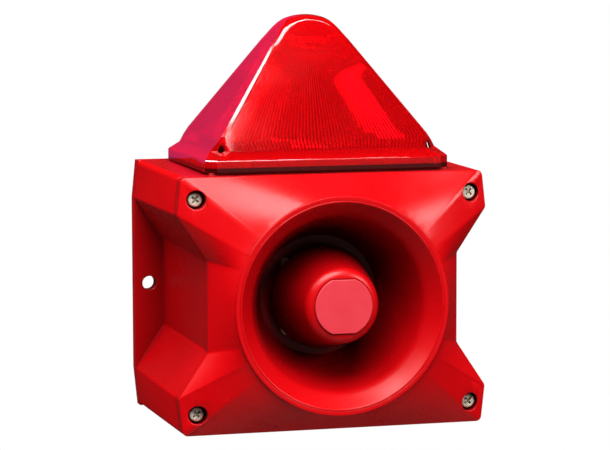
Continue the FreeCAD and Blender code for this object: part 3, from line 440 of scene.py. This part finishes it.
# %% [markdown]
# ## Rounded edges
# No moulded or machined edge is a perfect knife edge; the small rounding is
# what catches a line of light. The CAD meshes are split along every edge, so
# they are first welded and their flat triangles merged, then a bevel rounds
# what is sharper than a set angle. Modifiers leave the CAD mesh itself alone.

# %% Edge rounding
def round_edges(name, width_mm, segments=2, sharper_than=32):
    """Weld, merge flat triangles and round the sharp edges of a CAD part."""
    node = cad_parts[name]
    weld = node.modifiers.new("weld", "WELD")
    weld.merge_threshold = mm(0.002)
    merge = node.modifiers.new("merge flat faces", "DECIMATE")
    merge.decimate_type = "DISSOLVE"
    merge.angle_limit = math.radians(0.4)
    bevel = node.modifiers.new("rounded edges", "BEVEL")
    bevel.width = mm(width_mm)
    bevel.segments = segments
    bevel.limit_method = "ANGLE"
    bevel.angle_limit = math.radians(sharper_than)
    bevel.harden_normals = True
    return node


round_edges("front_cover", 0.9, segments=3, sharper_than=24)
round_edges("rear_housing", 0.6, segments=2, sharper_than=30)
round_edges("reflector_cup", 0.4)
round_edges("horn_throat", 0.3)
round_edges("badge_plate", 0.35)
for corner in ("top_left", "top_right", "bottom_left", "bottom_right"):
    round_edges("cover_screw_" + corner, 0.2)
print("edges rounded")

# %% [markdown]
# ## The lens
# The real lens is one polished moulding: a low skirt with a sloping ledge, a
# four-sided pyramid whose tip is rounded like a ball, and fine prismatic ribs
# inside that spread the flash. Ribs fan out from the tip, so each one narrows
# as it climbs. The lens is built as rings of points, outside and inside, with
# the same number of points on each, which makes the fan by itself. Cutting
# ribs with booleans would take hundreds of cutters.

# %% Sizes of the lens
lens_low, lens_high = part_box("lens")
lens_middle = (lens_low + lens_high) / 2
HALF_X = lens_high.x - lens_middle.x
HALF_Y = lens_high.y - lens_middle.y
LEDGE_Z = lens_low.z + mm(6.4)
BASE_Z = LEDGE_Z + mm(4.3)
TIP_Z = lens_low.z + mm(95.65)
LEDGE_IN = mm(4.6)   # how far the pyramid stands back from the skirt
SKIRT_CUT = mm(5.3)  # cut corners of the skirt
EDGE = mm(0.35)      # small flat along the skirt's upper edge
SEAL_TOP = mm(2.3)   # height of the dark band along the lens's foot
WALL = mm(2.2)
BALL_R = mm(31.7)
print("lens", [round(v * 1000, 1) for v in lens_high - lens_low], "mm")


# %% [markdown]
# ### One ring of the lens
# A ring is a rectangle with cut corners. Every second point of a straight run
# is a rib crest, pushed inwards. Near the tip each point is drawn in to the
# ball, with a smooth turn from flat face to ball.

# %% From flat face to ball
TIP_TURN = mm(3.4)


def smooth_least(a, b, turn):
    """The smaller of two lengths, with a rounded change from one to the other."""
    share = min(1.0, max(0.0, 0.5 + 0.5 * (b - a) / turn))
    return b + (a - b) * share - turn * share * (1 - share)


even = mm(10)
print("the turn takes off", round((even - smooth_least(even, even, TIP_TURN)) * 1000, 2), "mm")

# %% Ring of points
# about 2 mm apart at the foot, which is an estimate
RIBS_LONG, RIBS_SHORT, CORNER_STEPS = 56, 41, 3


def lens_ring(z, half_x, half_y, cut, ball=None, rib=0.0):
    """Points round the lens at height z."""
    short_x, short_y = half_x - cut, half_y - cut
    corners = [
        (short_x, -half_y), (half_x, -short_y), (half_x, short_y), (short_x, half_y),
        (-short_x, half_y), (-half_x, short_y), (-half_x, -short_y), (-short_x, -half_y),
    ]
    inward = [None, (-1, 0), None, (0, -1), None, (1, 0), None, (0, 1)]
    points = []
    for k, (start, push) in enumerate(zip(corners, inward)):
        end = corners[(k + 1) % 8]
        steps = CORNER_STEPS if push is None else 2 * (RIBS_SHORT if push[0] else RIBS_LONG)
        for step in range(steps):
            share = step / steps
            x = start[0] + (end[0] - start[0]) * share
            y = start[1] + (end[1] - start[1]) * share
            if push and step % 2:
                x, y = x + push[0] * rib, y + push[1] * rib
            if ball is not None:
                far = math.hypot(x, y)
                near = smooth_least(far, ball, min(TIP_TURN, ball + mm(1.5)))
                x, y = x * near / far, y * near / far
            points.append(Vector((lens_middle.x + x, lens_middle.y + y, z)))
    return points


print(len(lens_ring(BASE_Z, HALF_X, HALF_Y, SKIRT_CUT)), "points on each ring")


# %% [markdown]
# ### Outside and inside
# The outside goes up the skirt, over the ledge and up the pyramid. Its four
# ridges are cut flat about 2 mm wide, and low down the corners are upright
# facets. The inside repeats it one wall thickness in, with the ribs.

# %% The rounded tip
CAP_ANGLE = 42.8  # degrees up the ball where the cap begins
CAP_START, CAP_REACH, CAP_SLOPE = 0.68, 0.733, 0.93  # its sine, cosine and slope there


def ball_radius(z, radius):
    """How far the rounded tip reaches from the middle at height z."""
    centre = lens_high.z - BALL_R
    below = centre + radius * CAP_START - z
    if below > 0:
        return radius * CAP_REACH + below * CAP_SLOPE + below ** 2 / mm(9)
    return math.sqrt(max(0.0, radius ** 2 - (z - centre) ** 2))


print("5 mm below the tip the ball is", round(ball_radius(TIP_Z - mm(5), BALL_R) * 1000, 1), "mm")


# %% The pyramid
CORNER_CUT = mm(18.3)  # sets how high the upright corner facets reach
RIDGE_TIP, RIDGE_GAIN = mm(0.8), mm(0.9)
LOW_STEPS, CAP_STEPS = 16, 18


def pyramid_share(z):
    """The pyramid's size at height z as a share of its foot."""
    return (TIP_Z - z) / (TIP_Z - BASE_Z)


def pyramid_sizes(z, inset):
    """Half width, half depth and corner cut of the pyramid at height z."""
    share = pyramid_share(z)
    half_x = (HALF_X - LEDGE_IN) * share - inset
    half_y = (HALF_Y - LEDGE_IN) * share - inset
    upright = half_x + half_y - (HALF_X + HALF_Y - CORNER_CUT - inset * 1.2)
    ridge = RIDGE_TIP + RIDGE_GAIN * share
    return half_x, half_y, max(ridge, upright)


print("pyramid's foot:", [round(v * 1000, 1) for v in pyramid_sizes(BASE_Z, 0)], "mm")


# %% Heights of the rings
def climb(start, top, radius):
    """Heights from the pyramid's foot to its tip, closer together near the tip."""
    meet = top - radius * (1 - CAP_START)
    low = [start + (meet - start) * k / LOW_STEPS for k in range(LOW_STEPS)]
    turns = [math.radians(CAP_ANGLE + (90 - CAP_ANGLE) * k / CAP_STEPS) for k in range(CAP_STEPS)]
    return low + [top - radius * (1 - math.sin(a)) for a in turns]


# %% Rings of the outside
SKIRT_RINGS = [  # height and how far in
    (lens_low.z, mm(0.3)), (lens_low.z + mm(0.4), 0),
    (lens_low.z + SEAL_TOP, 0), (lens_low.z + SEAL_TOP + mm(0.5), 0),
    (LEDGE_Z - EDGE, 0), (LEDGE_Z + mm(0.15), EDGE),
]
outside = [lens_ring(z, HALF_X - off, HALF_Y - off, SKIRT_CUT) for z, off in SKIRT_RINGS]
for z in climb(BASE_Z, lens_high.z, BALL_R):
    outside.append(lens_ring(z, *pyramid_sizes(z, 0), ball_radius(z, BALL_R)))
print(len(outside), "rings outside")

# %% Rings of the inside
PYRAMID_WALL, CAP_WALL = mm(2.5), mm(2.3)
RIB_DEPTH, RIB_TOP = mm(0.9), mm(142)
in_ledge = LEDGE_IN + mm(2.4)
inside = [
    lens_ring(lens_low.z, HALF_X - WALL, HALF_Y - WALL, mm(5.2)),
    lens_ring(LEDGE_Z - mm(1.0), HALF_X - WALL, HALF_Y - WALL, mm(5.2)),
    lens_ring(BASE_Z - mm(1.6), HALF_X - in_ledge, HALF_Y - in_ledge, mm(6.0)),
]
roof = lens_high.z - CAP_WALL
for z in climb(BASE_Z + mm(0.6), roof, BALL_R - CAP_WALL):
    fade = min(1.0, (z - BASE_Z) / mm(1.2), max(0.0, (RIB_TOP - z) / mm(24)))
    reach = max(ball_radius(z, BALL_R) - CAP_WALL, mm(0.8))
    rib = RIB_DEPTH * pyramid_share(z) * fade
    inside.append(lens_ring(z, *pyramid_sizes(z, PYRAMID_WALL), reach, rib))
print(len(inside), "rings inside")


# %% [markdown]
# ### Skin between the rings
# Quads join each ring to the next. Both skins close at the tip in one point,
# and a last band joins them along the bottom rim, so the wall is a closed
# solid, as light needs to bend through it properly.

# %% Skin and tip
def skin(mesh, rings):
    """Join a stack of rings with quads; returns the rings as mesh points."""
    stack = [[mesh.verts.new(p) for p in ring] for ring in rings]
    count = len(stack[0])
    for lower, upper in zip(stack, stack[1:]):
        for k in range(count):
            n = (k + 1) % count
            mesh.faces.new((lower[k], lower[n], upper[n], upper[k]))
    return stack


def close_tip(mesh, ring, z):
    """A fan of triangles from a ring to one point over the middle."""
    tip = mesh.verts.new((lens_middle.x, lens_middle.y, z))
    for k in range(len(ring)):
        mesh.faces.new((ring[k], ring[(k + 1) % len(ring)], tip))


def as_piece(name, mesh, sharp_above):
    """A finished mesh as an object, smooth except at its sharp edges."""
    bmesh.ops.recalc_face_normals(mesh, faces=mesh.faces)
    data = bpy.data.meshes.new(name)
    mesh.to_mesh(data)
    mesh.free()
    data.shade_smooth()
    data.set_sharp_from_angle(angle=math.radians(sharp_above))
    piece = bpy.data.objects.new(name, data)
    bpy.context.scene.collection.objects.link(piece)
    return piece


# %% Lens mesh
lens_mesh = bmesh.new()
painted_shade = lens_mesh.verts.layers.float.new("deep")
outer_stack = skin(lens_mesh, outside)
close_tip(lens_mesh, outer_stack[-1], lens_high.z)
inner_stack = skin(lens_mesh, inside)
close_tip(lens_mesh, inner_stack[-1], roof)
outer_rim, inner_rim = outer_stack[0], inner_stack[0]
for k in range(len(outer_rim)):
    n = (k + 1) % len(outer_rim)
    lens_mesh.faces.new((outer_rim[k], outer_rim[n], inner_rim[n], inner_rim[k]))
print(len(lens_mesh.verts), "points in the lens's skins")

# %% [markdown]
# ### Painted shade on the lens
# Each point carries how much painted shade it gets, from 0 to 1: half way on
# the crest of a rib, fading towards the tip, and almost full along the foot,
# over a black seal and the shadow of the gap under it. A vertex value follows
# the fan of ribs exactly, which no texture in straight coordinates would.

# %% Painted shade at each point
RIB_SHADE, SEAL_SHADE = 0.55, 0.9
on_rib = []
for ribs in (RIBS_SHORT, RIBS_LONG) * 2:
    on_rib += [0.0] * CORNER_STEPS + [0.0, 1.0] * ribs
# painted shade on the rib crests, fading towards the tip
for ring in outer_stack[len(SKIRT_RINGS):] + inner_stack[3:]:
    fade = RIB_SHADE * min(1.0, max(0.0, (RIB_TOP - ring[0].co.z) / mm(28)))
    for point, value in zip(ring, on_rib):
        point[painted_shade] = value * fade
# painted shade along the foot, over the seal and the gap under it
for ring in outer_stack[:3] + inner_stack[:1]:
    for point in ring:
        point[painted_shade] = SEAL_SHADE
print(int(sum(on_rib)), "ribs round the lens")

# %% [markdown]
# ### Screw posts
# Four round posts stand in the lens's corners and take its screws from below.
# They are closed tubes of points in the same mesh, with domed ends. Seen
# through the dyed wall they look almost black, which is painted on them as
# full shade in the deep value.

# %% Posts in the corners
POST_SIDES = 24
POST_SHAPE = [  # across, deep, radius and height above the lens's foot, in mm
    (58.0, 41.8, 2.9, 0.2), (57.6, 41.5, 2.9, 5.0), (55.6, 40.4, 2.4, 11.5),
    (55.2, 40.2, 2.2, 13.6), (55.1, 40.1, 1.2, 14.6),
]
for side_x in (-1, 1):
    for side_y in (-1, 1):
        rings = []
        for across, deep, radius, height in POST_SHAPE:
            centre = Vector((
                side_x * mm(across), lens_middle.y + side_y * mm(deep), lens_low.z + mm(height)))
            turns = [math.tau * k / POST_SIDES for k in range(POST_SIDES)]
            rings.append([
                centre + mm(radius) * Vector((math.cos(turn), math.sin(turn), 0)) for turn in turns])
        stack = skin(lens_mesh, rings)
        lens_mesh.faces.new(stack[0])
        lens_mesh.faces.new(stack[-1])
        # full painted shade on the posts
        for ring in stack:
            for point in ring:
                point[painted_shade] = 1.0
print("four posts with", POST_SIDES, "sides")

# %% The finished lens
lens = as_piece("lens_moulding", lens_mesh, sharp_above=16)
lens.data.materials.append(finishes["red_lens"])
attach(lens, "case")
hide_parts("lens")
print("lens", len(lens.data.vertices), "points")

# %% [markdown]
# ## Lights for one part
# The small lights are for the lens's lines only, so light linking limits them
# to the lens; they are also hidden from rays that pass through it. A wide one
# behind lets the wall side be seen, without a mirror image in the case.

# %% Light for the back
back_only = bpy.data.collections.new("back only")
back_only.objects.link(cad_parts["rear_housing"])
back_light = soft_box("back", (0.25, 0.96, 0.03), 1.6, 1.2, 1.2, 12)
back_light.light_linking.receiver_collection = back_only
back_light.visible_glossy = False

# %% Lights for the lens alone
lens_only = bpy.data.collections.new("lens only")
lens_only.objects.link(lens)
for lamp in lens_lights:
    lamp.light_linking.receiver_collection = lens_only
    lamp.visible_transmission = False
print(len(lens_lights), "lights fall only on the lens")

# %% [markdown]
# ## Floor
# The product hangs on a wall, so the pale floor lies well below it. It only
# gives a soft bounce of light from underneath. A wide disc, built ring by
# ring so that its edge can bend up a little, avoids a hard horizon, and the
# paper fades out towards its edge so that it melts into the backdrop.

# %% Pale floor
FLOOR_R = 1.9
FLOOR_SIDES = 48
floor_mesh = bmesh.new()
rings = []
for radius, rise in ((0.5, 0.0), (1.0, 0.0), (1.5, 0.01), (FLOOR_R, 0.04)):
    turns = [math.tau * k / FLOOR_SIDES for k in range(FLOOR_SIDES)]
    rings.append([(radius * math.cos(turn), radius * math.sin(turn), rise) for turn in turns])
floor_mesh.faces.new(skin(floor_mesh, rings)[0])
floor_data = bpy.data.meshes.new("floor")
floor_mesh.to_mesh(floor_data)
floor_mesh.free()
floor = bpy.data.objects.new("floor", floor_data)
bpy.context.scene.collection.objects.link(floor)
floor.location.z = mm(-1100)
floor.visible_glossy = False

# %% Paper that fades out
paper = finish("pale paper floor", ("#f4f3f0", "#efeeea"), (0.7, 0.85),
               patch_mm=120, grain_mm=3, grain_depth_mm=0.05, edge_mm=0)
from_middle = add(paper, "Mapping", {
    "Vector": add(paper, "TexCoord").outputs["Object"], "Scale": (1 / FLOOR_R, 1 / FLOOR_R, 0)})
fading = add(
    paper, "TexGradient", {"Vector": from_middle.outputs["Vector"]}, gradient_type="SPHERICAL")
opacity = add(paper, "MapRange", {
    "Value": fading.outputs["Fac"], "From Min": 0.02, "From Max": 0.45})
paper.node_tree.links.new(
    opacity.outputs["Result"], paper.node_tree.nodes["Principled BSDF"].inputs["Alpha"])
floor.data.materials.append(paper)
print("floor", round(floor.location.z, 2), "m")

# %% [markdown]
# ## End

# %% End
print("scene dressed")
